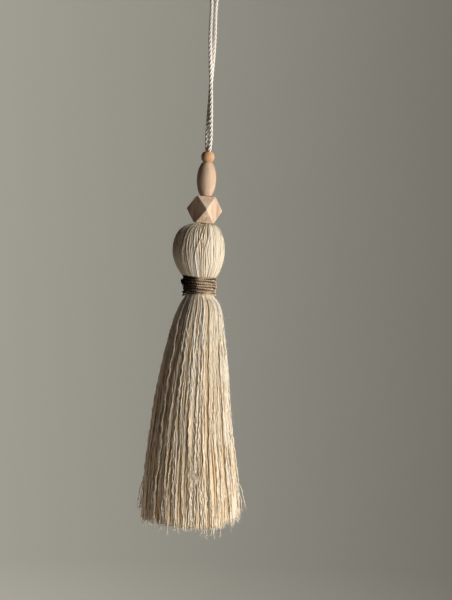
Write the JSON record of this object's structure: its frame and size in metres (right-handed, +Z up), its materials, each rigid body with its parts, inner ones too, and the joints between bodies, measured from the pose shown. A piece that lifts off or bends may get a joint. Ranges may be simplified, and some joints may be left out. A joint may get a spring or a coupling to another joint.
{
  "type": "beaded tassel",
  "caption": "Hanging tassel with a twisted cord loop, round, oval and faceted wooden beads, a bound yarn head and a flared yarn skirt.",
  "frame": {"origin": "inner top of the cord loop, where it bears on its hook", "axes": "+Z up along the hanging tassel, front towards -Y, +X to the right seen from the front"},
  "size_m": [0.0772, 0.0773, 0.4172],
  "materials": {
    "cord": "twisted white cotton",
    "warm_wood": "sanded, warm tan",
    "pale_wood": "sanded, pale grey-beige",
    "maple_wood": "sanded, pale yellow",
    "yarn": "soft natural cotton yarn",
    "twine": "dry twisted brown twine"
  },
  "bodies": {
    "root": {"hanging_cord": "cord", "round_bead": "warm_wood", "oval_bead": "pale_wood", "faceted_bead": "maple_wood", "yarn_tassel": "yarn", "binding_twine": "twine"}
  },
  "joints": []
}
